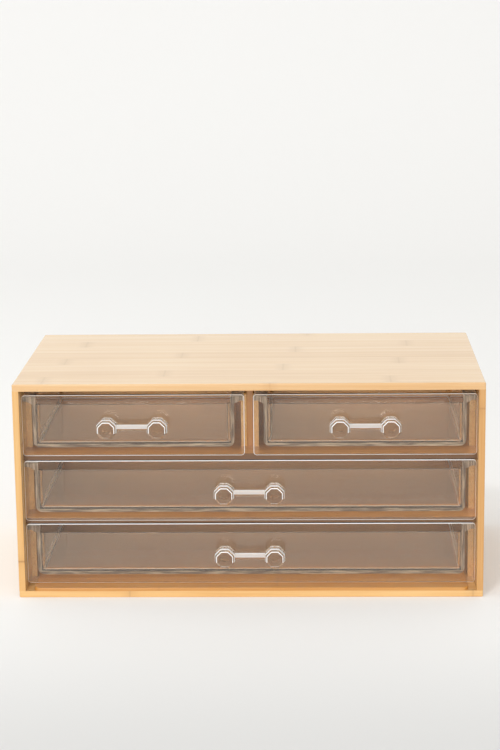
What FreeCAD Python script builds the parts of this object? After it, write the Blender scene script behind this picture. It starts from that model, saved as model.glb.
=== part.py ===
import FreeCAD, Part
import math
import os

# A desk organizer: a bamboo casing that holds four clear drawers.
# Millimetres. X runs along the width, Z up, and the drawer fronts face -Y.
# The origin is the bottom centre of the whole object, handles included.
# Depths named *_depth below are measured backward from the front face of the casing.

Vec = FreeCAD.Vector

# Casing as a whole
CASING_WIDTH = 318.0
CASING_DEPTH = 172.0
CASING_HEIGHT = 150.0
TOP_THICKNESS = 4.8
BOARD_THICKNESS = 4.5
OUTER_ROUND = 1.0
ARRIS = 0.5

# Thin board lying on the bottom board
LINER_THICKNESS = 2.2
LINER_HALF_WIDTH = 149.0
LINER_CORNER = 5.0

# Back board and the rebates that hold it
BACK_THICKNESS = 4.0
REBATE_DEPTH = 2.2

# Shelves between the drawer rows, let into housings in the side boards
SHELF_FRONT_DEPTH = 12.8
SHELF_HOUSING = 1.5
LOWER_SHELF_BOTTOM = 49.0
UPPER_SHELF_BOTTOM = 93.9

# Strips that carry the drawers and the divider between the small ones
RUNNER_THICKNESS = 3.8
RUNNER_FRONT_DEPTH = 33.0
RUNNER_ROUND = 1.5

# Drawer front plates
PLATE_FRONT_DEPTH = 9.5
PLATE_THICKNESS = 3.0
PLATE_HEIGHT = 42.4
PLATE_ROUND = 2.2
PLATE_EDGE_BEVEL = 0.4
WIDE_PLATE_HALF_WIDTH = 154.0
SMALL_PLATE_INNER_X = 3.0
SMALL_PLATE_OUTER_X = 154.2
BOTTOM_ROW_Z = 7.3
MIDDLE_ROW_Z = 52.0
TOP_ROW_Z = 98.0

# Trays behind the plates; heights are measured down from the top of the plate
TRAY_SIDE_INSET = 7.0
TRAY_BACK_DEPTH = 150.0
RIM_DROP = 1.5
FRONT_WALL_DROP = 7.2
TRAY_BOTTOM_DROP = 36.8
WALL = 2.4
FLOOR = 2.4
TRAY_ROUND = 4.5
INNER_CORNER = 3.0
FLOOR_ROUND = 2.6
FLANGE_THICKNESS = 1.8
FLANGE_LIP_DEPTH = 3.2
FLANGE_LIP_THICKNESS = 1.6
FLANGE_CLEARANCE = 0.4
WEB_THICKNESS = 2.0
WEB_DROP = 5.4
WEB_REACH = 4.0
RUNNER_CLEARANCE = 0.1

# Handle: two octagonal heads on stems, joined by a bar; lengths run out from the plate.
# Each head has a shallow round recess in its flat face.
HANDLE_SPACING = 34.2
HEAD_ACROSS_FLATS = 13.6
HEAD_BACK = 4.6
HEAD_BACK_BEVEL = 0.4
HEAD_SHOULDER = 12.5
HEAD_FACE = 15.5
HEAD_FACE_RADIUS = 5.6
FACE_DISH_RADIUS = 4.4
FACE_DISH_DEPTH = 0.5
STEM_RADIUS = 3.6
BAR_RADIUS = 2.4
BAR_OUT = 7.5

# Derived
HANDLE_PROUD = HEAD_FACE - PLATE_FRONT_DEPTH
FRONT_Y = -(CASING_DEPTH + HANDLE_PROUD) / 2 + HANDLE_PROUD
HALF_WIDTH = CASING_WIDTH / 2
INNER_HALF_WIDTH = HALF_WIDTH - BOARD_THICKNESS
TOP_UNDERSIDE = CASING_HEIGHT - TOP_THICKNESS
BOTTOM_TOP = BOARD_THICKNESS
LOWER_SHELF_TOP = LOWER_SHELF_BOTTOM + BOARD_THICKNESS
UPPER_SHELF_TOP = UPPER_SHELF_BOTTOM + BOARD_THICKNESS
BACK_FRONT_DEPTH = CASING_DEPTH - BACK_THICKNESS
PLATE_BACK_DEPTH = PLATE_FRONT_DEPTH + PLATE_THICKNESS

# Each row: height of the plate bottom and of the surface its runners stand on
ROWS = {
    "bottom": (BOTTOM_ROW_Z, BOTTOM_TOP),
    "middle": (MIDDLE_ROW_Z, LOWER_SHELF_TOP),
    "top": (TOP_ROW_Z, UPPER_SHELF_TOP),
}


def block(x0, x1, depth0, depth1, z0, z1):
    """A box between two X values, two depths and two heights."""
    corner = Vec(x0, FRONT_Y + depth0, z0)
    return Part.makeBox(x1 - x0, depth1 - depth0, z1 - z0, corner)


def edge_runs(edge, axis):
    """True when a straight edge runs along the axis named x, y or z."""
    first = edge.Vertexes[0].Point
    last = edge.Vertexes[-1].Point
    step = last - first
    along = {"x": step.x, "y": step.y, "z": step.z}
    others = [abs(value) for name, value in along.items() if name != axis]
    return abs(along[axis]) > 1e-6 and max(others) < 1e-6


def pick_edges(shape, axis, keep):
    """Edges along one axis whose middle point passes the test."""
    found = []
    for edge in shape.Edges:
        if len(edge.Vertexes) == 2 and edge_runs(edge, axis) and keep(edge.CenterOfMass):
            found.append(edge)
    return found


def near(value, target):
    return abs(value - target) < 0.01


def board(x0, x1, depth0, depth1, z0, z1, arris=ARRIS):
    """A board with its four long front and back edges eased along X or Z."""
    shape = block(x0, x1, depth0, depth1, z0, z1)
    front = FRONT_Y + depth0
    runs = "z" if (z1 - z0) > (x1 - x0) else "x"
    edges = pick_edges(shape, runs, lambda p: near(p.y, front))
    return shape.makeFillet(arris, edges)


# Casing boards

def make_top_panel():
    """The wide board over both sides, rounded on its outer edges."""
    shape = block(-HALF_WIDTH, HALF_WIDTH, 0, CASING_DEPTH, TOP_UNDERSIDE, CASING_HEIGHT)
    upright = pick_edges(shape, "z", lambda p: True)
    shape = shape.makeFillet(OUTER_ROUND, upright)
    rim = [edge for edge in shape.Edges if near(edge.CenterOfMass.z, CASING_HEIGHT)]
    return shape.makeFillet(OUTER_ROUND * 0.9, rim)


def make_bottom_panel():
    """The wide board under both sides; it lies flat on the table."""
    shape = block(-HALF_WIDTH, HALF_WIDTH, 0, CASING_DEPTH, 0, BOARD_THICKNESS)
    upright = pick_edges(shape, "z", lambda p: True)
    shape = shape.makeFillet(OUTER_ROUND, upright)
    rim = [edge for edge in shape.Edges if near(edge.CenterOfMass.z, 0)]
    return shape.makeChamfer(ARRIS, rim)


def make_base_liner():
    """Thin board on the bottom board, with rounded front corners."""
    shape = block(-LINER_HALF_WIDTH, LINER_HALF_WIDTH, 0, BACK_FRONT_DEPTH,
                  BOTTOM_TOP, BOTTOM_TOP + LINER_THICKNESS)
    corners = pick_edges(shape, "z", lambda p: near(p.y, FRONT_Y))
    shape = shape.makeFillet(LINER_CORNER, corners)
    top_z = BOTTOM_TOP + LINER_THICKNESS
    front = pick_edges(shape, "x", lambda p: near(p.y, FRONT_Y) and near(p.z, top_z))
    return shape.makeChamfer(ARRIS, front)


def make_side_panel(side):
    """Upright side board with shelf housings and a rebate for the back board."""
    outer = side * HALF_WIDTH
    inner = side * INNER_HALF_WIDTH
    x0, x1 = min(outer, inner), max(outer, inner)
    shape = board(x0, x1, 0, CASING_DEPTH, BOTTOM_TOP, TOP_UNDERSIDE)
    cut0 = min(inner, inner + side * SHELF_HOUSING)
    for bottom in (LOWER_SHELF_BOTTOM, UPPER_SHELF_BOTTOM):
        housing = block(cut0, cut0 + SHELF_HOUSING, SHELF_FRONT_DEPTH, BACK_FRONT_DEPTH,
                        bottom, bottom + BOARD_THICKNESS)
        shape = shape.cut(housing)
    cut0 = min(inner, inner + side * REBATE_DEPTH)
    rebate = block(cut0, cut0 + REBATE_DEPTH, BACK_FRONT_DEPTH, CASING_DEPTH,
                   BOTTOM_TOP, TOP_UNDERSIDE)
    return shape.cut(rebate)


def make_back_panel():
    """Thin board that closes the back, seated in the rebates of the sides."""
    half = INNER_HALF_WIDTH + REBATE_DEPTH
    return block(-half, half, BACK_FRONT_DEPTH, CASING_DEPTH, BOTTOM_TOP, TOP_UNDERSIDE)


def make_shelf(bottom):
    half = INNER_HALF_WIDTH + SHELF_HOUSING
    return board(-half, half, SHELF_FRONT_DEPTH, BACK_FRONT_DEPTH,
                 bottom, bottom + BOARD_THICKNESS)


def make_divider():
    half = BOARD_THICKNESS / 2
    return board(-half, half, RUNNER_FRONT_DEPTH, BACK_FRONT_DEPTH,
                 UPPER_SHELF_TOP, TOP_UNDERSIDE)


def runner_top(row):
    plate_top = ROWS[row][0] + PLATE_HEIGHT
    return plate_top - RIM_DROP - FLANGE_LIP_DEPTH - RUNNER_CLEARANCE


def make_runner(row, face_x, side):
    """Strip glued to an upright face; side +1 puts it to the right of that face."""
    far_x = face_x + side * RUNNER_THICKNESS
    x0, x1 = min(face_x, far_x), max(face_x, far_x)
    top = runner_top(row)
    shape = block(x0, x1, RUNNER_FRONT_DEPTH, BACK_FRONT_DEPTH, ROWS[row][1], top)
    nose = pick_edges(shape, "x",
                      lambda p: near(p.z, top) and near(p.y, FRONT_Y + RUNNER_FRONT_DEPTH))
    return shape.makeFillet(RUNNER_ROUND, nose)


# Drawers

def make_plate(x0, x1, z0):
    """Front plate with rounded corners and softened front edges."""
    z1 = z0 + PLATE_HEIGHT
    shape = block(x0, x1, PLATE_FRONT_DEPTH, PLATE_BACK_DEPTH, z0, z1)
    corners = pick_edges(shape, "y", lambda p: True)
    shape = shape.makeFillet(PLATE_ROUND, corners)
    front_y = FRONT_Y + PLATE_FRONT_DEPTH
    rim = [edge for edge in shape.Edges if near(edge.CenterOfMass.y, front_y)]
    return shape.makeChamfer(PLATE_EDGE_BEVEL, rim)


def make_flange(wall_x, edge_x, side, rim_z):
    """Ledge along one side of a tray, with a turned-down lip and a web at its front end."""
    tip = edge_x - side * FLANGE_CLEARANCE
    inside = wall_x - side * WALL / 2
    back = TRAY_BACK_DEPTH - TRAY_ROUND
    under = rim_z - FLANGE_THICKNESS
    lip_z = rim_z - FLANGE_LIP_DEPTH
    ledge = block(min(inside, tip), max(inside, tip), PLATE_BACK_DEPTH, back, under, rim_z)
    lip_in = tip - side * FLANGE_LIP_THICKNESS
    lip = block(min(lip_in, tip), max(lip_in, tip), PLATE_BACK_DEPTH, back, lip_z, rim_z)
    web_y = FRONT_Y + PLATE_BACK_DEPTH
    outline = [
        Vec(inside, web_y, rim_z),
        Vec(tip, web_y, rim_z),
        Vec(tip, web_y, lip_z),
        Vec(wall_x + side * WEB_REACH, web_y, lip_z),
        Vec(wall_x, web_y, rim_z - WEB_DROP),
        Vec(inside, web_y, rim_z - WEB_DROP),
    ]
    web = Part.Face(Part.makePolygon(outline + outline[:1]))
    web = web.extrude(Vec(0, WEB_THICKNESS, 0))
    return ledge.fuse([lip, web]).removeSplitter()


def make_tray(x0, x1, z0):
    """Moulded open box with a flange along each side; its own front wall is lower."""
    plate_top = z0 + PLATE_HEIGHT
    rim_z = plate_top - RIM_DROP
    under_z = plate_top - TRAY_BOTTOM_DROP
    left = x0 + TRAY_SIDE_INSET
    right = x1 - TRAY_SIDE_INSET
    back_y = FRONT_Y + TRAY_BACK_DEPTH
    outer = block(left, right, PLATE_BACK_DEPTH, TRAY_BACK_DEPTH, under_z, rim_z)
    rounded = pick_edges(outer, "y", lambda p: near(p.z, under_z))
    rounded += pick_edges(outer, "z", lambda p: near(p.y, back_y))
    rounded += pick_edges(outer, "x", lambda p: near(p.z, under_z) and near(p.y, back_y))
    outer = outer.makeFillet(TRAY_ROUND, rounded)
    outer = outer.fuse([make_flange(left, x0, -1, rim_z), make_flange(right, x1, 1, rim_z)])
    wall_back = PLATE_BACK_DEPTH + WALL
    inner = block(left + WALL, right - WALL, wall_back, TRAY_BACK_DEPTH - WALL,
                  under_z + FLOOR, rim_z + 1)
    inner = inner.makeFillet(INNER_CORNER, pick_edges(inner, "z", lambda p: True))
    rim = [edge for edge in inner.Edges if near(edge.CenterOfMass.z, under_z + FLOOR)]
    inner = inner.makeFillet(FLOOR_ROUND, rim)
    lowered = block(left + WALL, right - WALL, PLATE_BACK_DEPTH, wall_back + INNER_CORNER,
                    plate_top - FRONT_WALL_DROP, rim_z + 1)
    return outer.cut([inner, lowered]).removeSplitter()


def octagon_ring(x, out, z, flats):
    """Corners of a regular octagon facing the front, at a distance out from the plate."""
    y = FRONT_Y + PLATE_FRONT_DEPTH - out
    radius = flats / 2 / math.cos(math.pi / 8)
    ring = []
    for step in range(8):
        angle = math.pi / 8 + step * math.pi / 4
        ring.append(Vec(x + radius * math.cos(angle), y, z + radius * math.sin(angle)))
    return ring


def flat_face(points):
    return Part.Face(Part.makePolygon(points + points[:1]))


def make_head(x, z):
    """Faceted head: bevelled back, octagonal girdle, facets running in to a flat face."""
    girdle = HEAD_ACROSS_FLATS
    rings = [
        octagon_ring(x, HEAD_BACK, z, girdle - 2 * HEAD_BACK_BEVEL),
        octagon_ring(x, HEAD_BACK + HEAD_BACK_BEVEL, z, girdle),
        octagon_ring(x, HEAD_SHOULDER, z, girdle),
        octagon_ring(x, HEAD_FACE, z, 2 * HEAD_FACE_RADIUS),
    ]
    faces = [flat_face(rings[0]), flat_face(rings[-1])]
    for near_ring, far_ring in zip(rings, rings[1:]):
        for step in range(8):
            after = (step + 1) % 8
            faces.append(flat_face([near_ring[step], near_ring[after],
                                    far_ring[after], far_ring[step]]))
    head = Part.Solid(Part.Shell(faces))
    if head.Volume < 0:
        head.reverse()
    face_y = FRONT_Y + PLATE_FRONT_DEPTH - HEAD_FACE
    dish = Part.makeCylinder(FACE_DISH_RADIUS, FACE_DISH_DEPTH, Vec(x, face_y, z), Vec(0, 1, 0))
    return head.cut(dish)


def make_handle(middle, z0):
    """Two heads on stems that stand on the plate, joined by a bar."""
    z = z0 + PLATE_HEIGHT / 2
    plate_y = FRONT_Y + PLATE_FRONT_DEPTH
    left = middle - HANDLE_SPACING / 2
    shape = Part.makeCylinder(BAR_RADIUS, HANDLE_SPACING,
                              Vec(left, plate_y - BAR_OUT, z), Vec(1, 0, 0))
    for x in (left, left + HANDLE_SPACING):
        stem = Part.makeCylinder(STEM_RADIUS, HEAD_BACK + HEAD_BACK_BEVEL,
                                 Vec(x, plate_y, z), Vec(0, -1, 0))
        shape = shape.fuse([stem, make_head(x, z)])
    return shape.removeSplitter()


DRAWERS = {
    "top_left": (-SMALL_PLATE_OUTER_X, -SMALL_PLATE_INNER_X, TOP_ROW_Z),
    "top_right": (SMALL_PLATE_INNER_X, SMALL_PLATE_OUTER_X, TOP_ROW_Z),
    "middle": (-WIDE_PLATE_HALF_WIDTH, WIDE_PLATE_HALF_WIDTH, MIDDLE_ROW_Z),
    "bottom": (-WIDE_PLATE_HALF_WIDTH, WIDE_PLATE_HALF_WIDTH, BOTTOM_ROW_Z),
}


def make_all():
    nodes = {
        "top_panel": make_top_panel(),
        "bottom_panel": make_bottom_panel(),
        "base_liner": make_base_liner(),
        "left_side_panel": make_side_panel(-1),
        "right_side_panel": make_side_panel(1),
        "back_panel": make_back_panel(),
        "lower_shelf": make_shelf(LOWER_SHELF_BOTTOM),
        "upper_shelf": make_shelf(UPPER_SHELF_BOTTOM),
        "centre_divider": make_divider(),
        "divider_runner_left": make_runner("top", -BOARD_THICKNESS / 2, -1),
        "divider_runner_right": make_runner("top", BOARD_THICKNESS / 2, 1),
    }
    for row in ROWS:
        nodes["runner_" + row + "_left"] = make_runner(row, -INNER_HALF_WIDTH, 1)
        nodes["runner_" + row + "_right"] = make_runner(row, INNER_HALF_WIDTH, -1)
    for name, (x0, x1, z0) in DRAWERS.items():
        nodes[name + "_front"] = make_plate(x0, x1, z0)
        nodes[name + "_tray"] = make_tray(x0, x1, z0)
        nodes[name + "_handle"] = make_handle((x0 + x1) / 2, z0)
    return nodes


os.makedirs("parts", exist_ok=True)
for node, shape in make_all().items():
    if not shape.isValid() or len(shape.Solids) != 1:
        raise RuntimeError(node + " is not one valid solid")
    shape.Solids[0].exportStep("parts/" + node + ".step")
    box = shape.BoundBox
    print(node, "volume %.0f" % shape.Volume,
          "x %.1f %.1f" % (box.XMin, box.XMax),
          "y %.1f %.1f" % (box.YMin, box.YMax),
          "z %.1f %.1f" % (box.ZMin, box.ZMax))
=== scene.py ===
import math

import bmesh
import bpy
from mathutils import Matrix, Vector


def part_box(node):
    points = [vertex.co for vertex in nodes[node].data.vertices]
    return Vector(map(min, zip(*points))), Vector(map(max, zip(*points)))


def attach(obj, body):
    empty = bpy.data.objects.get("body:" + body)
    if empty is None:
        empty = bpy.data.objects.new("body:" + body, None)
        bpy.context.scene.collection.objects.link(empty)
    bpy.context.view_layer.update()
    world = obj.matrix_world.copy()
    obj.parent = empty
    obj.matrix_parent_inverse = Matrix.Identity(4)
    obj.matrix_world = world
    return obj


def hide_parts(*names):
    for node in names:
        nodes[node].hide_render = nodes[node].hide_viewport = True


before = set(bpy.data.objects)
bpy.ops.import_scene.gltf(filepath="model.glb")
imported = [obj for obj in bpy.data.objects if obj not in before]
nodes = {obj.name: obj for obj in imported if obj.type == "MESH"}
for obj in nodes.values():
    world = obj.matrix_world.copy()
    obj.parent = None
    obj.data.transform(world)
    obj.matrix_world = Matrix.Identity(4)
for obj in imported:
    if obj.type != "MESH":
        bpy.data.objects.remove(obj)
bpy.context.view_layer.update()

# %% [markdown]
# This scene dresses a bamboo desk organizer with four clear drawers. The construction is already
# fixed: every board, tray, front and handle is loaded in metres, with the origin at the bottom
# centre and the drawer fronts facing -Y. What is left to do here is what the eye judges: the
# laminated bamboo, the clear acrylic with its softened edges, the light and the picture.

# %% The size of the model as loaded
DRAWERS = ("top_left", "top_right", "middle", "bottom")
print("pieces loaded:", len(nodes), "drawers:", len(DRAWERS))

# %% [markdown]
# A few small helpers keep the rest short. Colours are written as hex codes, as a painter's chart
# gives them, but a renderer adds light in linear values, so one function converts them. One
# function adds a node with its settings and links, whatever kind of node it is.


# %% Colours and nodes
def srgb(code):
    """A hex colour such as "E8C79A" as linear red, green, blue and alpha."""
    linear = []
    for start in (0, 2, 4):
        value = int(code[start:start + 2], 16) / 255
        linear.append(value / 12.92 if value <= 0.04045 else ((value + 0.055) / 1.055) ** 2.4)
    return (*linear, 1.0)


def add(tree, kind, inputs=None, **settings):
    """Adds one node; inputs maps a socket to a value or to another node's socket."""
    node = tree.nodes.new(kind)
    for key, value in settings.items():
        setattr(node, key, value)
    for key, value in (inputs or {}).items():
        if isinstance(value, bpy.types.NodeSocket):
            tree.links.new(value, node.inputs[key])
        else:
            node.inputs[key].default_value = value
    return node


def new_material(name):
    """A material with an empty node tree; also gives that tree."""
    material = bpy.data.materials.new(name)
    material.use_nodes = True
    material.node_tree.nodes.clear()
    return material, material.node_tree


def finish_with(tree, shader):
    """Joins a shader to the material's output."""
    add(tree, "ShaderNodeOutputMaterial", {"Surface": shader.outputs[0]})


print("helpers ready")

# %% [markdown]
# The casing is laminated bamboo: split canes are planed into strips about 20 mm wide and glued
# side by side, so a board shows long fine fibres, slow changes of tone from strip to strip, a
# faint line at each glue joint and, every 20 to 25 cm along a strip, the darker ring where the
# cane had a node. A photograph could be wrapped round the boards, but a pattern built from the
# object's own coordinates runs through the board like real wood, so edges and faces agree.
# A thin satin varnish lies on top; at a low angle it mirrors the pale room, so the top board
# looks almost white from the front while its edge stays golden. Part of that is painted: the top
# board gets lighter tones as painted light, and faces that look to the front are darkened as
# painted shade. The boards inside the casing get darker, deeper tones as painted shade, and the
# front edges of the shelves and of the divider are darkened most, so that between the pale fronts
# they read as thin dark lines. Real fibres and pores are about 0.2 mm wide, too fine to show in
# the picture, so both are drawn four times as wide.

# %% Real sizes of the bamboo's pattern, in metres
STRIP_WIDTH = 0.020
NODE_SPACING = 0.235
NODE_STEP = 0.655
NODE_RING = 0.0011
NODE_SHADE = 0.0080
GLUE_LINE = 0.00025
FIBRE_WIDTH, FIBRE_LENGTH = 0.0008, 0.050
BAND_WIDTH, BAND_LENGTH = 0.0050, 0.220
CLOUD_SIZE = 0.090
PORE_SIZE = 0.0008

# Tones of a board, from its darkest fibres to its lightest
GOLDEN = ("D39B50", "E2B06A", "EDC585")
DEEP = ("C4883F", "D29B54", "DFB06E")
# Darker, deeper tones for the boards inside the casing: painted shade
PAINTED_SHADE_TONES = ("BC7B34", "CF8E3F", "DCA254")
# Lighter tones for the top board: painted light on its upper face
PAINTED_LIGHT_TONES = ("DDB078", "EBC48E", "F4D6A6")
TONE_STOPS = (0.32, 0.48, 0.66)

# Colours of the cane's nodes, of glue joints, of pores in cut ends and of the painted shade on
# front faces
NODE_COLOUR, GLUE_COLOUR, PORE_COLOUR, PAINTED_FRONT_SHADE = "9C6A34", "A87A42", "94652F", "C07F28"

# How much fibres, bands, clouds and the strip itself count in the tone
FIBRE_SHARE, BAND_SHARE, CLOUD_SHARE, STRIP_SHARE = 0.45, 0.35, 0.20, 0.10
SHADE_STRENGTH, GLUE_STRENGTH = 0.30, 0.16

# Limits of a face's direction beyond which it cuts across the grain, or faces the front
CUT_END, CUT_FRONT = 0.8, -0.5
print("strips", STRIP_WIDTH * 1000, "mm, fibres drawn", FIBRE_WIDTH * 1000, "mm wide")


# %% Noise and distances that the bamboo is made of
def stretched_noise(tree, place, along, width, length, lane_phase, detail):
    """Noise drawn out along the grain; each strip gets its own part of it."""
    sizes = [length if axis == along else width for axis in "XYZ"]
    stretched = add(tree, "ShaderNodeMapping",
                    {"Vector": place, "Scale": [1 / size for size in sizes]})
    noise = add(tree, "ShaderNodeTexNoise",
                {"Vector": stretched.outputs[0], "W": lane_phase, "Scale": 1.0,
                 "Detail": detail, "Roughness": 0.55}, noise_dimensions="4D")
    return noise.outputs["Fac"]


def off_centre(tree, part):
    """How far a fraction lies from one half."""
    centred = add(tree, "ShaderNodeMath", {0: part, 1: 0.5}, operation="SUBTRACT")
    size = add(tree, "ShaderNodeMath", {0: centred.outputs[0]}, operation="ABSOLUTE")
    return size.outputs[0]


# %% The parts of the bamboo's pattern
def fibre_tone(tree, place, fibres, bands, lane_phase, tones):
    """Colour of the strips, from fine fibres, broad bands and slow clouds."""
    clouds = add(tree, "ShaderNodeTexNoise",
                 {"Vector": place, "Scale": 1 / CLOUD_SIZE, "Detail": 1.0})
    fine = add(tree, "ShaderNodeMath", {0: fibres, 1: FIBRE_SHARE}, operation="MULTIPLY")
    broad = add(tree, "ShaderNodeMath", {0: bands, 1: BAND_SHARE, 2: fine.outputs[0]},
                operation="MULTIPLY_ADD")
    cloudy = add(tree, "ShaderNodeMath",
                 {0: clouds.outputs["Fac"], 1: CLOUD_SHARE, 2: broad.outputs[0]},
                 operation="MULTIPLY_ADD")
    lane_share = add(tree, "ShaderNodeMath", {0: lane_phase, 1: 0.5}, operation="SUBTRACT")
    tone = add(tree, "ShaderNodeMath",
               {0: lane_share.outputs[0], 1: STRIP_SHARE, 2: cloudy.outputs[0]},
               operation="MULTIPLY_ADD")
    colour = add(tree, "ShaderNodeValToRGB", {"Fac": tone.outputs[0]})
    stops = colour.color_ramp.elements
    dark, usual, light = tones
    stops[0].position, stops[0].color = TONE_STOPS[0], srgb(dark)
    stops[1].position, stops[1].color = TONE_STOPS[2], srgb(light)
    stops.new(TONE_STOPS[1]).color = srgb(usual)
    return colour.outputs["Color"]


def cane_nodes(tree, along_place, bands, lane_phase, node_shift, ring_strength):
    """How much of a node shows: a thin dark ring with a soft, uneven shade round it."""
    ring_place = add(tree, "ShaderNodeMath",
                     {0: along_place, 1: 1 / NODE_SPACING, 2: lane_phase},
                     operation="MULTIPLY_ADD")
    shifted = add(tree, "ShaderNodeMath",
                  {0: ring_place.outputs[0], 1: node_shift / NODE_SPACING}, operation="ADD")
    ring_part = add(tree, "ShaderNodeMath", {0: shifted.outputs[0]}, operation="FRACT")
    distance = off_centre(tree, ring_part.outputs[0])
    ring = add(tree, "ShaderNodeMapRange",
               {"Value": distance, "From Max": NODE_RING / NODE_SPACING,
                "To Min": ring_strength, "To Max": 0.0}, interpolation_type="SMOOTHSTEP")
    shade = add(tree, "ShaderNodeMapRange",
                {"Value": distance, "From Max": NODE_SHADE / NODE_SPACING,
                 "To Min": SHADE_STRENGTH, "To Max": 0.0}, interpolation_type="SMOOTHSTEP")
    uneven = add(tree, "ShaderNodeMath", {0: shade.outputs[0], 1: bands},
                 operation="MULTIPLY")
    mark = add(tree, "ShaderNodeMath", {0: ring.outputs[0], 1: uneven.outputs[0]},
               operation="ADD")
    return mark.outputs[0]


def glue_joints(tree, strips, lane):
    """How much of the joint between two strips shows."""
    strip_part = add(tree, "ShaderNodeMath", {0: strips, 1: lane}, operation="SUBTRACT")
    joint = add(tree, "ShaderNodeMapRange",
                {"Value": off_centre(tree, strip_part.outputs[0]),
                 "From Min": 0.5 - GLUE_LINE / STRIP_WIDTH, "From Max": 0.5,
                 "To Max": GLUE_STRENGTH})
    return joint.outputs[0]


def with_cut_ends(tree, place, facing_along, colour):
    """The colour with open pores where a face cuts across the grain."""
    pores = add(tree, "ShaderNodeTexVoronoi", {"Vector": place, "Scale": 1 / PORE_SIZE})
    pore_depth = add(tree, "ShaderNodeMapRange",
                     {"Value": pores.outputs["Distance"], "From Min": 0.15,
                      "From Max": 0.45, "To Min": 0.75, "To Max": 0.25})
    end_grain = add(tree, "ShaderNodeMix",
                    {0: pore_depth.outputs[0], 6: colour, 7: srgb(PORE_COLOUR)},
                    data_type="RGBA")
    along_size = add(tree, "ShaderNodeMath", {0: facing_along}, operation="ABSOLUTE")
    is_end = add(tree, "ShaderNodeMath", {0: along_size.outputs[0], 1: CUT_END},
                 operation="GREATER_THAN")
    wood = add(tree, "ShaderNodeMix",
               {0: is_end.outputs[0], 6: colour, 7: end_grain.outputs[2]}, data_type="RGBA")
    return wood.outputs[2]


def with_painted_front_shade(tree, facing_y, colour, front):
    """The colour, darkened by a share on faces that look to the front: painted shade."""
    shade_colour, shade_share = front
    is_front = add(tree, "ShaderNodeMath", {0: facing_y, 1: CUT_FRONT},
                   operation="LESS_THAN")
    front_shade_share = add(tree, "ShaderNodeMath", {0: is_front.outputs[0], 1: shade_share},
                      operation="MULTIPLY")
    front_shaded = add(tree, "ShaderNodeMix",
                  {0: front_shade_share.outputs[0], 6: colour, 7: srgb(shade_colour)},
                  data_type="RGBA")
    return front_shaded.outputs[2]


# %% Laminated bamboo as a material
def bamboo(name, along, across, node_shift, ring_strength, tones, front):
    """Varnished bamboo strips that run along one axis and lie side by side across another."""
    material, tree = new_material(name)
    coordinates = add(tree, "ShaderNodeTexCoord")
    place = coordinates.outputs["Object"]
    axes = add(tree, "ShaderNodeSeparateXYZ", {0: place})
    facing = add(tree, "ShaderNodeSeparateXYZ", {0: coordinates.outputs["Normal"]})
    strips = add(tree, "ShaderNodeMath", {0: axes.outputs[across], 1: STRIP_WIDTH},
                 operation="DIVIDE")
    lane = add(tree, "ShaderNodeMath", {0: strips.outputs[0]}, operation="FLOOR")
    lane_steps = add(tree, "ShaderNodeMath", {0: lane.outputs[0], 1: NODE_STEP},
                     operation="MULTIPLY")
    lane_phase = add(tree, "ShaderNodeMath", {0: lane_steps.outputs[0]}, operation="FRACT")

    fibres = stretched_noise(tree, place, along, FIBRE_WIDTH, FIBRE_LENGTH,
                             lane_steps.outputs[0], 4.0)
    bands = stretched_noise(tree, place, along, BAND_WIDTH, BAND_LENGTH,
                            lane_steps.outputs[0], 2.0)
    tone = fibre_tone(tree, place, fibres, bands, lane_phase.outputs[0], tones)
    node_mark = cane_nodes(tree, axes.outputs[along], bands, lane_phase.outputs[0],
                           node_shift, ring_strength)
    with_nodes = add(tree, "ShaderNodeMix", {0: node_mark, 6: tone, 7: srgb(NODE_COLOUR)},
                     data_type="RGBA")
    glue = glue_joints(tree, strips.outputs[0], lane.outputs[0])
    with_glue = add(tree, "ShaderNodeMix",
                    {0: glue, 6: with_nodes.outputs[2], 7: srgb(GLUE_COLOUR)},
                    data_type="RGBA")
    wood = with_cut_ends(tree, place, facing.outputs[along], with_glue.outputs[2])

    sheen = add(tree, "ShaderNodeMapRange",
                {"Value": fibres, "From Min": 0.3, "From Max": 0.7, "To Min": 0.34,
                 "To Max": 0.46})
    relief = add(tree, "ShaderNodeBump",
                 {"Height": fibres, "Strength": 0.12, "Distance": 0.0002})
    shader = add(tree, "ShaderNodeBsdfPrincipled",
                 {"Base Color": with_painted_front_shade(tree, facing.outputs["Y"], wood, front),
                  "Roughness": sheen.outputs[0], "IOR": 1.5, "Normal": relief.outputs[0],
                  "Coat Weight": 1.0, "Coat Roughness": 0.22, "Coat IOR": 1.5})
    finish_with(tree, shader)
    return material


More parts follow.
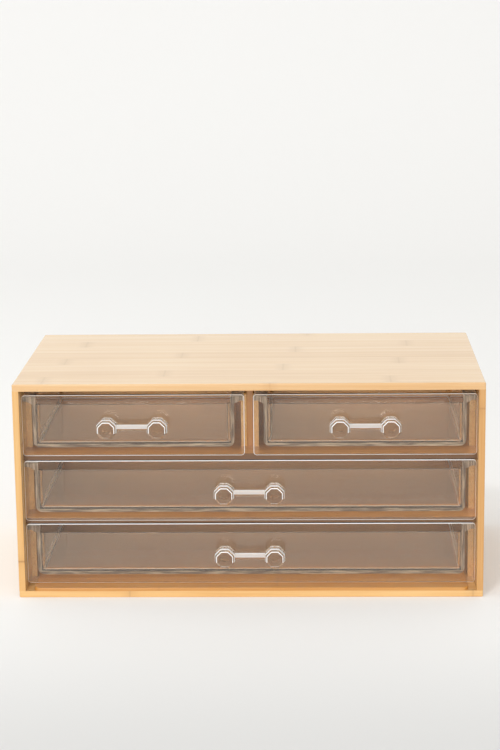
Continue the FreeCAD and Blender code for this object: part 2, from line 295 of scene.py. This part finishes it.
# %% Boards with their grain
# Each row: material name, axis of the grain, axis across it, shift of the cane's nodes in
# metres, strength of their rings, tones, and colour and share of the painted shade on faces
# that look to the front. The shifts of the top and the left board put the nodes where the
# picture shows them.
BOARD_LOOKS = {
    "top_panel": ("bamboo_top_board", "X", "Y", 0.1675, 0.12, PAINTED_LIGHT_TONES, (PAINTED_FRONT_SHADE, 0.42)),
    "bottom_panel": ("bamboo_base_board", "X", "Y", 0.030, 0.20, GOLDEN, (PAINTED_FRONT_SHADE, 0.06)),
    "base_liner": ("bamboo_base_liner", "X", "Y", 0.010, 0.20, PAINTED_SHADE_TONES, (PAINTED_FRONT_SHADE, 0.30)),
    # The shelves' front edges get the darkest painted shade: it stands for the shade between the
    # plates.
    "shelf": ("bamboo_shelf", "X", "Y", 0.030, 0.20, PAINTED_SHADE_TONES, ("5E3A16", 0.92)),
    "left_side_panel": ("bamboo_left_side", "Z", "Y", -0.0786, 0.62, GOLDEN, (PAINTED_FRONT_SHADE, 0.25)),
    "right_side_panel": ("bamboo_right_side", "Z", "Y", 0.050, 0.35, DEEP, ("B5752A", 0.35)),
    "centre_divider": ("bamboo_divider", "Z", "Y", 0.050, 0.25, PAINTED_SHADE_TONES, ("7A4E22", 0.38)),
    "back_panel": ("bamboo_back_board", "X", "Z", 0.090, 0.25, DEEP, (PAINTED_FRONT_SHADE, 0.0)),
    "runner": ("bamboo_runner", "Y", "X", 0.020, 0.30, GOLDEN, (PAINTED_FRONT_SHADE, 0.0)),
}
CLEAR_KINDS = ("_tray", "_front", "_handle")
board_finishes = {board: bamboo(*look) for board, look in BOARD_LOOKS.items()}
casing_boards = [name for name in nodes if not name.endswith(CLEAR_KINDS)]
for name in casing_boards:
    usual = board_finishes["runner" if "runner" in name else "shelf"]
    for slot in range(len(nodes[name].data.materials)):
        nodes[name].data.materials[slot] = board_finishes.get(name, usual)
print("bamboo boards:", len(casing_boards))

# %% [markdown]
# The drawers are clear acrylic. Light bends when it enters and leaves, and each polished surface
# mirrors about four hundredths of what is in front of it, so three or four surfaces in a row lay
# a pale veil over the wood behind. A glass shader alone would cast a solid shadow, because a
# renderer's shadow rays don't bend: for those rays only, the shader below becomes simply
# transparent, so daylight reaches the wood inside the casing. Moulded walls are never quite
# flat, so the trays get a slow, very shallow waviness that breaks reflections up. Where the ends
# of a tray's walls are cemented to the front plate, the bond is hazy; its brown and pale streaks
# are painted, standing in for the dim wood seen through the wall ends and for light glancing off
# them, and are drawn about 1 mm wide, coarser than real ones, so that they show. The
# upward-facing part of the rounded cove between floor and walls and the top of the tray's rim
# get a pale, part-white finish: a painted highlight where these edges catch the light.

# %% Clear acrylic
ACRYLIC_IOR = 1.49
WAVE_SIZE = 0.008
STREAK_WIDTH, STREAK_LENGTH = 0.0009, 0.014
STREAK_STOPS = (0.40, 0.66)

# Roughness of each finish, and the height of surface waves in moulded and in cast pieces
POLISHED, MOULDED, HAZY, SATIN = 0.0, 0.02, 0.30, 0.35
MOULDED_WAVES, CAST_WAVES = 0.00004, 0.00001


def with_light_through(tree, shader):
    """Shadow rays pass almost undimmed; every other ray meets the shader."""
    clear = add(tree, "ShaderNodeBsdfTransparent", {"Color": (0.98, 0.98, 0.98, 1)})
    ray = add(tree, "ShaderNodeLightPath")
    return add(tree, "ShaderNodeMixShader",
               {0: ray.outputs["Is Shadow Ray"], 1: shader.outputs[0], 2: clear.outputs[0]})


def acrylic(name, colour, roughness, wave_depth, clarity=1.0):
    """Acrylic with a given polish; wave_depth is the height of its surface waves in metres."""
    material, tree = new_material(name)
    coordinates = add(tree, "ShaderNodeTexCoord")
    waves = add(tree, "ShaderNodeTexNoise",
                {"Vector": coordinates.outputs["Object"], "Scale": 1 / WAVE_SIZE,
                 "Detail": 1.0})
    relief = add(tree, "ShaderNodeBump",
                 {"Height": waves.outputs["Fac"], "Strength": 1.0, "Distance": wave_depth})
    shader = add(tree, "ShaderNodeBsdfPrincipled",
                 {"Base Color": srgb(colour), "Roughness": roughness, "IOR": ACRYLIC_IOR,
                  "Transmission Weight": clarity, "Normal": relief.outputs[0]})
    finish_with(tree, with_light_through(tree, shader))
    return material


def cemented_acrylic(name, along):
    """Wall ends bonded to the plate: hazy, with brown and pale streaks painted along the joint.
    """
    material, tree = new_material(name)
    coordinates = add(tree, "ShaderNodeTexCoord")
    streaks = stretched_noise(tree, coordinates.outputs["Object"], along, STREAK_WIDTH,
                              STREAK_LENGTH, 0.0, 2.0)
    painted_streaks = add(tree, "ShaderNodeValToRGB", {"Fac": streaks})
    stops = painted_streaks.color_ramp.elements
    # Dark brown and pale stops: painted shade of the wood seen through and painted glints off the
    # wall ends
    for stop, position, code in zip(stops, STREAK_STOPS, ("66503E", "C4AD94")):
        stop.position, stop.color = position, srgb(code)
    shader = add(tree, "ShaderNodeBsdfPrincipled",
                 {"Base Color": painted_streaks.outputs["Color"], "Roughness": 0.4,
                  "IOR": ACRYLIC_IOR, "Transmission Weight": 0.35})
    finish_with(tree, with_light_through(tree, shader))
    return material


# Moulded trays are clear but wavy. Their front walls, seen edge to edge with the dark inside, get
# a warm tint: painted light, standing in for the warmer light bounced about inside the bamboo
# casing. Cast plates and pulls are flat and mirror sharply; the plates' edges, sawn and buffed to
# a satin finish, scatter light and show as white lines. On the pulls the same white finish lies
# only on the upper edges, as painted highlights.
tray_acrylic = acrylic("moulded_acrylic_tray", "FCFBF9", MOULDED, MOULDED_WAVES)
window_acrylic = acrylic("moulded_acrylic_tray_front", "FFF0DF", MOULDED, MOULDED_WAVES, 0.95)
upright_joint = cemented_acrylic("cemented_acrylic_upright_joint", "Z")
level_joint = cemented_acrylic("cemented_acrylic_level_joint", "X")
# White, part-clear finish for painted highlights on the tray's cove and rim and on the pull's bar
painted_highlight_acrylic = acrylic("acrylic_painted_highlight", "FFFFFF", HAZY, CAST_WAVES, 0.60)
plate_acrylic = acrylic("polished_acrylic_front", "FDF9F1", POLISHED, CAST_WAVES)
satin_edge_and_highlight_acrylic = acrylic("satin_acrylic_edge_and_painted_highlight", "FFFFFF", SATIN, CAST_WAVES, 0.08)
pull_acrylic = acrylic("polished_acrylic_pull", "EFE3D5", POLISHED, CAST_WAVES)
print("acrylic finishes: tray, window, joints, hazy, front, edge, pull")

# %% [markdown]
# Two clear pieces that touch are hard for a path tracer: where the tray's walls meet the front
# plate, both surfaces lie at exactly the same depth, and rays pick one at random. The real joint
# is a thin seam of glue, so each tray gets a copy whose front ends stop a twentieth of a
# millimetre short. The copies also get what moulded and machined acrylic has and the
# construction leaves out: edges with a tiny radius, which catch the light as fine lines.

# %% Copies of the clear pieces
MERGE_DISTANCE = 1e-6
FLAT_GAP = 1e-5
GLUE_SEAM = 0.00005
EDGE_RADIUS = 0.00010
TRAY_INSET, TRAY_WALL = 0.0070, 0.0024
TRAY_FINISHES = [tray_acrylic, window_acrylic, upright_joint, level_joint, painted_highlight_acrylic]
WINDOW, UPRIGHT_JOINT, LEVEL_JOINT, PAINTED_TRAY_HIGHLIGHT = range(1, 5)
FRONT_SKIN = 0.001

# Directions of a face: square on to an axis, or sloping as the cove and the bevels do
SQUARE_ON = 0.99
# Only the upward-facing part of the cove gets the painted highlight
COVE_LOW, COVE_HIGH = 0.55, 0.85
BEVEL_LOW = 0.3
FLAT_ANGLE = math.radians(0.5)
SHARP_ANGLE = math.radians(35)


def joined_copy(node):
    """The piece's loose triangles as one closed surface with whole flat faces."""
    work = bmesh.new()
    work.from_mesh(node.data)
    bmesh.ops.remove_doubles(work, verts=work.verts, dist=MERGE_DISTANCE)
    bmesh.ops.dissolve_limit(work, angle_limit=FLAT_ANGLE, verts=work.verts, edges=work.edges)
    return work


def sharp_edges(work):
    """The edges where two faces meet at a clear angle."""
    return [edge for edge in work.edges
            if len(edge.link_faces) == 2 and edge.calc_face_angle() > SHARP_ANGLE]


def soften(work, edges, radius):
    """Breaks the given edges: a narrow flat on each stands for its tiny round."""
    bmesh.ops.bevel(work, geom=edges, offset=radius, segments=1, profile=0.5,
                    affect="EDGES", clamp_overlap=True)
    work.normal_update()


def place_piece(name, mesh, materials, body, replaced):
    """Links a finished mesh as a piece that stands for one node of its drawer."""
    for material in materials:
        mesh.materials.append(material)
    piece = bpy.data.objects.new(name, mesh)
    bpy.context.scene.collection.objects.link(piece)
    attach(piece, body)
    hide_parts(replaced)
    return piece


def cut_front(work, front_y, place, direction):
    """Divides the tray's front face along a plane, without moving anything."""
    front = [face for face in work.faces
             if face.normal.y < -SQUARE_ON and face.calc_center_median().y < front_y]
    parts = dict.fromkeys(part for face in front for part in (*face.verts, *face.edges, face))
    bmesh.ops.bisect_plane(work, geom=list(parts), plane_co=place, plane_no=direction)


def finish_tray_front(work, drawer, plate_back):
    """Tells the tray's clear window from the cemented wall ends that frame it."""
    plate_low, plate_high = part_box(drawer + "_front")
    left = plate_low[0] + TRAY_INSET + TRAY_WALL
    right = plate_high[0] - TRAY_INSET - TRAY_WALL
    tray_low, tray_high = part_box(drawer + "_tray")
    floor, rim = tray_low[2] + TRAY_WALL, tray_high[2]
    front_y = plate_back + FRONT_SKIN
    cut_front(work, front_y, (left, 0, 0), (1, 0, 0))
    cut_front(work, front_y, (right, 0, 0), (1, 0, 0))
    cut_front(work, front_y, (0, 0, floor), (0, 0, 1))
    for face in work.faces:
        centre = face.calc_center_median()
        in_window = left < centre.x < right and centre.z > floor
        if centre.y < front_y and face.normal.y < -SQUARE_ON:
            joint = UPRIGHT_JOINT if centre.z > floor else LEVEL_JOINT
            face.material_index = WINDOW if in_window else joint
        elif centre.y < plate_back + 2 * TRAY_WALL and face.normal.y > SQUARE_ON and in_window:
            face.material_index = WINDOW
        # Upward-facing cove facets and the rim's top: painted highlight
        elif left < centre.x < right and COVE_LOW < face.normal.z < COVE_HIGH:
            face.material_index = PAINTED_TRAY_HIGHLIGHT
        elif face.normal.z > SQUARE_ON and centre.z > rim - TRAY_WALL:
            face.material_index = PAINTED_TRAY_HIGHLIGHT


def make_tray_piece(drawer):
    """The moulded tray, a glue seam behind the plate, with softened edges."""
    plate_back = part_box(drawer + "_front")[1][1]
    work = joined_copy(nodes[drawer + "_tray"])
    for corner in work.verts:
        if corner.co.y < plate_back + GLUE_SEAM:
            corner.co.y = plate_back + GLUE_SEAM
    soften(work, sharp_edges(work), EDGE_RADIUS)
    finish_tray_front(work, drawer, plate_back)
    mesh = bpy.data.meshes.new(drawer + "_tray_moulding")
    work.to_mesh(mesh)
    work.free()
    return place_piece(drawer + "_tray_moulding", mesh, TRAY_FINISHES, drawer + "_drawer",
                       drawer + "_tray")


def make_plate_piece(drawer):
    """The front plate: polished faces and sides, with a satin bevel round the front."""
    work = joined_copy(nodes[drawer + "_front"])
    for face in work.faces:
        face.material_index = 1 if BEVEL_LOW < abs(face.normal.y) < SQUARE_ON else 0
    mesh = bpy.data.meshes.new(drawer + "_front_plate")
    work.to_mesh(mesh)
    work.free()
    return place_piece(drawer + "_front_plate", mesh, [plate_acrylic, satin_edge_and_highlight_acrylic],
                       drawer + "_drawer", drawer + "_front")


for drawer in DRAWERS:
    tray = make_tray_piece(drawer)
    plate = make_plate_piece(drawer)
    print(tray.name, len(tray.data.polygons), "faces;", plate.name, len(plate.data.polygons))

# %% [markdown]
# Each handle is one clear moulding: two octagonal heads on round stems, joined by a bar. The four
# are alike and every size follows a rule, so Geometry Nodes is the right tool: a cylinder with
# eight sides is a head, its front cap is pushed out and drawn in to make the sloping facets, the
# head is set on two points, and a Boolean joins heads, stems and bar into one body. A glass body
# has to be one closed skin: any wall left inside would bend the light a second time. The narrow
# rounds on the upper edges, the top of the bar and the upper half of its front get a white,
# part-clear finish: painted highlights, showing as white lines as they do in the picture.

# %% Sizes of the handle, measured out from the plate
HANDLE = {
    "Spacing": 0.0342,
    "Across Flats": 0.0136,
    "Face Across Flats": 0.0112,
    "Head Back": 0.0046,
    "Shoulder": 0.0125,
    "Face": 0.0155,
    "Dish Radius": 0.0050,
    "Dish Depth": 0.00015,
    "Stem Radius": 0.0036,
    "Bar Radius": 0.0024,
    "Bar Out": 0.0075,
    "Seam": GLUE_SEAM,
}
STEM_INSIDE = 0.001
OCTAGON_TURN = math.radians(22.5)
QUARTER_TURN = math.radians(90)
ROUND_SIDES = 48

# The rounds on the head's octagons, and the painted highlight lines on them
SHOULDER_ROUND, FACE_ROUND = 0.0011, 0.0004
OUTLINE_RADIUS = 0.0052
HIGHLIGHTS_FROM_HEIGHT = -0.0010
BAR_HALF_LENGTH = 0.0100
BAR_TOP = 0.86
TILT_LOW, TILT_HIGH = -0.98, -0.02
# Finishes of the pull: clear, and two painted highlights
CLEAR_PULL, PAINTED_PULL_HIGHLIGHT, PAINTED_BAR_HIGHLIGHT = range(3)


# %% The handle's node tree
def handle_tree():
    """Geometry Nodes that make one handle; its local Z points out of the plate."""
    tree = bpy.data.node_groups.new("octagon_handle", "GeometryNodeTree")
    face = tree.interface
    for label in HANDLE:
        face.new_socket(label, in_out="INPUT", socket_type="NodeSocketFloat")
    face.new_socket("Finish", in_out="INPUT", socket_type="NodeSocketMaterial")
    face.new_socket("Handle", in_out="OUTPUT", socket_type="NodeSocketGeometry")
    size = add(tree, "NodeGroupInput").outputs

    def between(low, high):
        return add(tree, "ShaderNodeMath", {0: size[high], 1: size[low]},
                   operation="SUBTRACT").outputs[0]

    def middle_of(low, high):
        total = add(tree, "ShaderNodeMath", {0: size[low], 1: size[high]}, operation="ADD")
        return add(tree, "ShaderNodeMath", {0: total.outputs[0], 1: 0.5},
                   operation="MULTIPLY").outputs[0]

    def moved(part, height, rotation=(0, 0, 0)):
        offset = add(tree, "ShaderNodeCombineXYZ", {"Z": height})
        return add(tree, "GeometryNodeTransform",
                   {"Geometry": part, "Translation": offset.outputs[0],
                    "Rotation": rotation}).outputs[0]

    corner = add(tree, "ShaderNodeMath",
                 {0: size["Across Flats"], 1: 0.5 / math.cos(OCTAGON_TURN)},
                 operation="MULTIPLY")
    girdle = add(tree, "GeometryNodeMeshCylinder",
                 {"Vertices": 8, "Radius": corner.outputs[0],
                  "Depth": between("Head Back", "Shoulder")})
    pushed = add(tree, "GeometryNodeExtrudeMesh",
                 {"Mesh": girdle.outputs["Mesh"], "Selection": girdle.outputs["Top"],
                  "Offset Scale": between("Shoulder", "Face")}, mode="FACES")
    taper = add(tree, "ShaderNodeMath",
                {0: size["Face Across Flats"], 1: size["Across Flats"]}, operation="DIVIDE")
    faceted = add(tree, "GeometryNodeScaleElements",
                  {"Geometry": pushed.outputs["Mesh"], "Selection": pushed.outputs["Top"],
                   "Scale": taper.outputs[0]}, domain="FACE")
    head = moved(faceted.outputs[0], middle_of("Head Back", "Shoulder"), (0, 0, OCTAGON_TURN))

    dish_depth = add(tree, "ShaderNodeMath", {0: size["Dish Depth"], 1: 2.0},
                     operation="MULTIPLY")
    dish = add(tree, "GeometryNodeMeshCylinder",
               {"Vertices": ROUND_SIDES, "Radius": size["Dish Radius"],
                "Depth": dish_depth.outputs[0]})
    dished = add(tree, "GeometryNodeMeshBoolean", operation="DIFFERENCE", solver="EXACT")
    tree.links.new(head, dished.inputs["Mesh 1"])
    tree.links.new(moved(dish.outputs["Mesh"], size["Face"]), dished.inputs["Mesh 2"])

    stem_top = add(tree, "ShaderNodeMath", {0: size["Head Back"], 1: STEM_INSIDE},
                   operation="ADD")
    stem_length = add(tree, "ShaderNodeMath", {0: stem_top.outputs[0], 1: size["Seam"]},
                      operation="SUBTRACT")
    stem_middle = add(tree, "ShaderNodeMath",
                      {0: stem_length.outputs[0], 1: 0.5, 2: size["Seam"]},
                      operation="MULTIPLY_ADD")
    stem = add(tree, "GeometryNodeMeshCylinder",
               {"Vertices": ROUND_SIDES, "Radius": size["Stem Radius"],
                "Depth": stem_length.outputs[0]})
    knob = add(tree, "GeometryNodeMeshBoolean", operation="UNION", solver="EXACT")
    tree.links.new(dished.outputs["Mesh"], knob.inputs["Mesh 2"])
    tree.links.new(moved(stem.outputs["Mesh"], stem_middle.outputs[0]), knob.inputs["Mesh 2"])

    half = add(tree, "ShaderNodeMath", {0: size["Spacing"], 1: -0.5}, operation="MULTIPLY")
    first = add(tree, "ShaderNodeCombineXYZ", {"X": half.outputs[0]})
    step = add(tree, "ShaderNodeCombineXYZ", {"X": size["Spacing"]})
    spots = add(tree, "GeometryNodeMeshLine",
                {"Count": 2, "Start Location": first.outputs[0], "Offset": step.outputs[0]},
                mode="OFFSET")
    pair = add(tree, "GeometryNodeInstanceOnPoints",
               {"Points": spots.outputs["Mesh"], "Instance": knob.outputs["Mesh"]})
    knobs = add(tree, "GeometryNodeRealizeInstances", {"Geometry": pair.outputs[0]})

    bar = add(tree, "GeometryNodeMeshCylinder",
              {"Vertices": ROUND_SIDES, "Radius": size["Bar Radius"],
               "Depth": size["Spacing"]})
    lying = moved(bar.outputs["Mesh"], size["Bar Out"], (0, QUARTER_TURN, 0))
    whole = add(tree, "GeometryNodeMeshBoolean", operation="UNION", solver="EXACT")
    tree.links.new(knobs.outputs[0], whole.inputs["Mesh 2"])
    tree.links.new(lying, whole.inputs["Mesh 2"])
    facing_front = add(tree, "GeometryNodeTransform",
                       {"Geometry": whole.outputs["Mesh"],
                        "Rotation": (QUARTER_TURN, 0, 0)})
    realized = add(tree, "GeometryNodeRealizeInstances",
                   {"Geometry": facing_front.outputs[0]})
    finished = add(tree, "GeometryNodeSetMaterial",
                   {"Geometry": realized.outputs[0], "Material": size["Finish"]})
    add(tree, "NodeGroupOutput", {"Handle": finished.outputs[0]})
    return tree


octagon_handle = handle_tree()
print("handle tree:", len(octagon_handle.nodes), "nodes")


# %% A handle on every drawer
def run_tree(tree, values):
    """The mesh that a node tree makes with the given input values."""
    holder_mesh = bpy.data.meshes.new("holder")
    holder = bpy.data.objects.new("holder", holder_mesh)
    bpy.context.scene.collection.objects.link(holder)
    modifier = holder.modifiers.new("make", "NODES")
    modifier.node_group = tree
    for item in tree.interface.items_tree:
        if item.in_out == "INPUT":
            modifier[item.identifier] = values[item.name]
    bpy.context.view_layer.update()
    depsgraph = bpy.context.evaluated_depsgraph_get()
    mesh = bpy.data.meshes.new_from_object(holder.evaluated_get(depsgraph))
    holder.modifiers.remove(modifier)
    bpy.data.objects.remove(holder)
    bpy.data.meshes.remove(holder_mesh)
    return mesh


def from_head_axis(spot):
    """How far a spot lies from the axis of the nearer head."""
    return math.hypot(abs(spot.x) - HANDLE["Spacing"] / 2, spot.z)


def pull_finish(spot, normal):
    """The finish of a face: painted highlights on the upper edges and the bar's upper half."""
    # Only faces that look upward get the white finish: painted highlights
    if abs(spot.x) < BAR_HALF_LENGTH:
        upper = PAINTED_PULL_HIGHLIGHT if normal.z > BAR_TOP else PAINTED_BAR_HIGHLIGHT
        return upper if normal.z > 0 else CLEAR_PULL
    near_shoulder = abs(spot.y + HANDLE["Shoulder"]) < SHOULDER_ROUND
    near_face = -spot.y > HANDLE["Face"] - FACE_ROUND
    in_ring = from_head_axis(spot) > OUTLINE_RADIUS and spot.z > HIGHLIGHTS_FROM_HEIGHT
    on_line = TILT_LOW < normal.y < TILT_HIGH and in_ring and (near_shoulder or near_face)
    return PAINTED_PULL_HIGHLIGHT if on_line else CLEAR_PULL


def make_pull_piece(drawer):
    """One handle, centred on its drawer's front plate."""
    mesh = run_tree(octagon_handle, {**HANDLE, "Finish": pull_acrylic})
    mesh.name = drawer + "_pull"
    mesh.materials.clear()
    work = bmesh.new()
    work.from_mesh(mesh)
    bmesh.ops.remove_doubles(work, verts=work.verts, dist=MERGE_DISTANCE)
    shoulder = [edge for edge in work.edges
                if all(abs(end.co.y + HANDLE["Shoulder"]) < FLAT_GAP for end in edge.verts)]
    soften(work, shoulder, SHOULDER_ROUND)
    outline = [edge for edge in sharp_edges(work) if edge.is_convex
               and min(from_head_axis(end.co) for end in edge.verts) > OUTLINE_RADIUS]
    soften(work, outline, FACE_ROUND)
    for face in work.faces:
        face.material_index = pull_finish(face.calc_center_median(), face.normal)
    work.to_mesh(mesh)
    work.free()
    low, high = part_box(drawer + "_front")
    mesh.transform(Matrix.Translation(((low[0] + high[0]) / 2, low[1],
                                       (low[2] + high[2]) / 2)))
    return place_piece(drawer + "_pull", mesh, [pull_acrylic, satin_edge_and_highlight_acrylic, painted_highlight_acrylic],
                       drawer + "_drawer", drawer + "_handle")


for drawer in DRAWERS:
    pull = make_pull_piece(drawer)
    print(pull.name, len(pull.data.polygons), "faces")

# %% [markdown]
# The studio is a pale sweep: a floor that curves up into a wall behind the object, so no horizon
# line shows. It only has to be there as light and as a reflection, so one bent sheet is enough.
# The matt paper has no gloss. Its colour is painted lighter at the object's foot and greyer
# toward the camera: painted light, as in the picture.

# %% Floor and backdrop in one sweep
SWEEP_HALF_WIDTH = 5.0
SWEEP_FRONT = -6.0
SWEEP_BEND = 1.3
SWEEP_RADIUS = 0.9
SWEEP_TOP = 4.0
BEND_STEPS = 32
PAINTED_FALLOFF_START, PAINTED_FALLOFF_END = -0.40, -0.06


def sweep_profile():
    """Side view of the sweep as depth and height pairs."""
    profile = [(SWEEP_FRONT, 0.0)]
    for step in range(BEND_STEPS + 1):
        angle = step / BEND_STEPS * math.pi / 2
        profile.append((SWEEP_BEND + SWEEP_RADIUS * math.sin(angle),
                        SWEEP_RADIUS * (1 - math.cos(angle))))
    profile.append((SWEEP_BEND + SWEEP_RADIUS, SWEEP_TOP))
    return profile


profile = sweep_profile()
corners = [(side * SWEEP_HALF_WIDTH, y, z) for y, z in profile for side in (-1, 1)]
quads = [(2 * row, 2 * row + 1, 2 * row + 3, 2 * row + 2) for row in range(len(profile) - 1)]
sweep_mesh = bpy.data.meshes.new("studio_sweep")
sweep_mesh.from_pydata(corners, [], quads)
sweep_mesh.shade_smooth()
sweep = bpy.data.objects.new("studio_sweep", sweep_mesh)
bpy.context.scene.collection.objects.link(sweep)
sweep_paint, tree = new_material("matt_white_paper")
coordinates = add(tree, "ShaderNodeTexCoord")
axes = add(tree, "ShaderNodeSeparateXYZ", {0: coordinates.outputs["Object"]})
# Paper painted lighter near the object's foot and greyer toward the camera: painted light
painted_pool = add(tree, "ShaderNodeMapRange",
                  {"Value": axes.outputs["Y"], "From Min": PAINTED_FALLOFF_START,
                   "From Max": PAINTED_FALLOFF_END}, interpolation_type="SMOOTHSTEP")
painted_falloff = add(tree, "ShaderNodeMix",
           {0: painted_pool.outputs[0], 6: srgb("D9D9D8"), 7: srgb("FAFAF9")},
           data_type="RGBA")
paper = add(tree, "ShaderNodeBsdfPrincipled",
            {"Base Color": painted_falloff.outputs[2], "Roughness": 0.9, "Specular IOR Level": 0.1})
finish_with(tree, paper)
sweep_mesh.materials.append(sweep_paint)
print("sweep faces:", len(quads))

# %% [markdown]
# The light is plain and soft. A pale room gives light from everywhere. A large soft lamp stands
# low in front and reaches deep into the clear drawers; one high above the camera brightens the
# top board and the floor at the object's foot; a weaker one high on the left lays the soft
# shadow on the right that the picture shows. The pale background is simply the colour of the
# paper, so mirrors and clear walls see the same room that lights the object.

# %% Room light
ROOM_STRENGTH = 0.78
world = bpy.data.worlds.new("pale_room")
bpy.context.scene.world = world
world.use_nodes = True
tree = world.node_tree
tree.nodes.clear()
room = add(tree, "ShaderNodeBackground", {"Color": srgb("FFFEFC"), "Strength": ROOM_STRENGTH})
add(tree, "ShaderNodeOutputWorld", {"Surface": room.outputs[0]})
print("room light", ROOM_STRENGTH)


# %% Lamps
def soft_lamp(name, place, target, width, height, watts, seen_through):
    """A rectangular lamp that looks at a target; seen_through shows it inside clear pieces."""
    data = bpy.data.lights.new(name, "AREA")
    data.shape = "RECTANGLE"
    data.size, data.size_y = width, height
    data.energy = watts
    lamp = bpy.data.objects.new(name, data)
    towards = (Vector(target) - Vector(place)).to_track_quat("-Z", "Y")
    lamp.visible_transmission = seen_through
    lamp.matrix_world = Matrix.Translation(place) @ towards.to_matrix().to_4x4()
    bpy.context.scene.collection.objects.link(lamp)
    return lamp


soft_lamp("front_softbox", (-0.25, -2.5, 0.55), (0, 0, 0.08), 2.0, 0.9, 23.5, False)
soft_lamp("high_softbox", (-0.4, -1.2, 2.0), (0, -0.05, 0.05), 0.30, 0.30, 8, True)
soft_lamp("left_softbox", (-1.5, 0.1, 1.5), (0, 0, 0.05), 1.0, 1.0, 5, True)
print("lamps: front, high and left")

# %% [markdown]
# Light that enters a clear drawer crosses up to ten surfaces before it comes back to the eye.
# With the usual limits on bounces it would give up half way and leave the inside black.

# %% Bounces enough for clear drawers inside a casing
CLEAR_BOUNCES = 28
cycles = bpy.context.scene.cycles
cycles.max_bounces = CLEAR_BOUNCES
cycles.transmission_bounces = CLEAR_BOUNCES
cycles.transparent_max_bounces = CLEAR_BOUNCES
cycles.diffuse_bounces = 6
cycles.glossy_bounces = 8
print("bounces:", cycles.max_bounces)

# %% [markdown]
# The camera stands where the picture was taken from: its place, angles and focal length were
# worked out from the corners of the casing.

# %% Camera
FOCAL_PIXELS = 1969.4
PICTURE_HEIGHT_PIXELS = 750
SENSOR_HEIGHT_MM = 36.0
PITCH = math.radians(12.447)
YAW = math.radians(-1.850)
ROLL = math.radians(-0.686)
CAMERA_PLACE = (0.0430, -1.3679, 0.4397)


def camera_axes(pitch, yaw, roll):
    """Right, up and back directions of a camera that looks along +Y when all angles are zero."""
    forward = Vector((math.sin(yaw) * math.cos(pitch), math.cos(yaw) * math.cos(pitch),
                      -math.sin(pitch)))
    level_right = Vector((math.cos(yaw), -math.sin(yaw), 0))
    level_up = level_right.cross(forward)
    right = math.cos(roll) * level_right + math.sin(roll) * level_up
    up = -math.sin(roll) * level_right + math.cos(roll) * level_up
    return right, up, -forward


camera_data = bpy.data.cameras.new("camera")
camera_data.sensor_fit = "VERTICAL"
camera_data.sensor_height = SENSOR_HEIGHT_MM
camera_data.lens = FOCAL_PIXELS * SENSOR_HEIGHT_MM / PICTURE_HEIGHT_PIXELS
camera = bpy.data.objects.new("camera", camera_data)
turn = Matrix(camera_axes(PITCH, YAW, ROLL)).transposed().to_4x4()
camera.matrix_world = Matrix.Translation(CAMERA_PLACE) @ turn
bpy.context.scene.collection.objects.link(camera)
bpy.context.scene.camera = camera
bpy.context.scene.view_settings.view_transform = "Standard"
print("lens: %.1f mm" % camera_data.lens)
